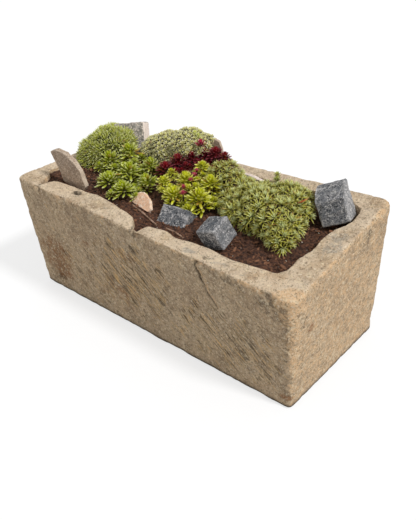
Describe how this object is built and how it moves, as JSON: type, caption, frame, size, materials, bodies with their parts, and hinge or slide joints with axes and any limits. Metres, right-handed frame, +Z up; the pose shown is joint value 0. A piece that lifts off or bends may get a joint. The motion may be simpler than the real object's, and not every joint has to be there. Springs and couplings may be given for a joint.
{
  "type": "planted stone water trough",
  "caption": "Long tapered sandstone water trough, hand hewn and worn, with a drain hole, filled with compost and planted with rosette succulents among granite setts and thin stone slabs.",
  "frame": {"origin": "middle of the whole object's plan, on the ground", "axes": "+X along the trough's length, towards the end with the thicker rim, -Y out of the long front with the worn notch, +Z up"},
  "size_m": [0.9975, 0.4281, 0.4845],
  "materials": {
    "sandstone": "matte",
    "crock": "matte",
    "gravel": "matte",
    "compost": "matte",
    "granite": "matte",
    "slate": "matte",
    "grey_slab": "matte",
    "pale_slab": "matte",
    "green_leaf": "satin",
    "red_leaf": "satin",
    "yellow_leaf": "satin",
    "moss_leaf": "matte",
    "pale_leaf": "matte",
    "silver_leaf": "matte"
  },
  "bodies": {
    "root": {"chip_tan": "pale_slab", "drain_crock": "crock", "drainage_gravel": "gravel", "houseleek_green_1": "green_leaf", "houseleek_green_2": "green_leaf", "houseleek_green_3": "green_leaf", "houseleek_green_4": "green_leaf", "houseleek_green_5": "green_leaf", "houseleek_green_6": "green_leaf", "houseleek_green_7": "green_leaf", "houseleek_red_1": "red_leaf", "houseleek_red_2": "red_leaf", "houseleek_red_3": "red_leaf", "houseleek_red_4": "red_leaf", "houseleek_red_5": "red_leaf", "houseleek_red_6": "red_leaf", "houseleek_yellow_1": "yellow_leaf", "houseleek_yellow_2": "yellow_leaf", "houseleek_yellow_3": "yellow_leaf", "houseleek_yellow_4": "yellow_leaf", "houseleek_yellow_5": "yellow_leaf", "houseleek_yellow_6": "yellow_leaf", "houseleek_yellow_7": "yellow_leaf", "saxifrage_mossy": "moss_leaf", "saxifrage_pale": "pale_leaf", "saxifrage_silver": "silver_leaf", "saxifrage_silver_small": "silver_leaf", "sett_back": "granite", "sett_front": "granite", "sett_middle": "granite", "sett_right": "granite", "slab_back": "grey_slab", "slab_pale": "pale_slab", "slab_upright": "grey_slab", "slate_left": "slate", "slate_right": "slate", "soil": "compost", "trough": "sandstone"}
  },
  "joints": []
}
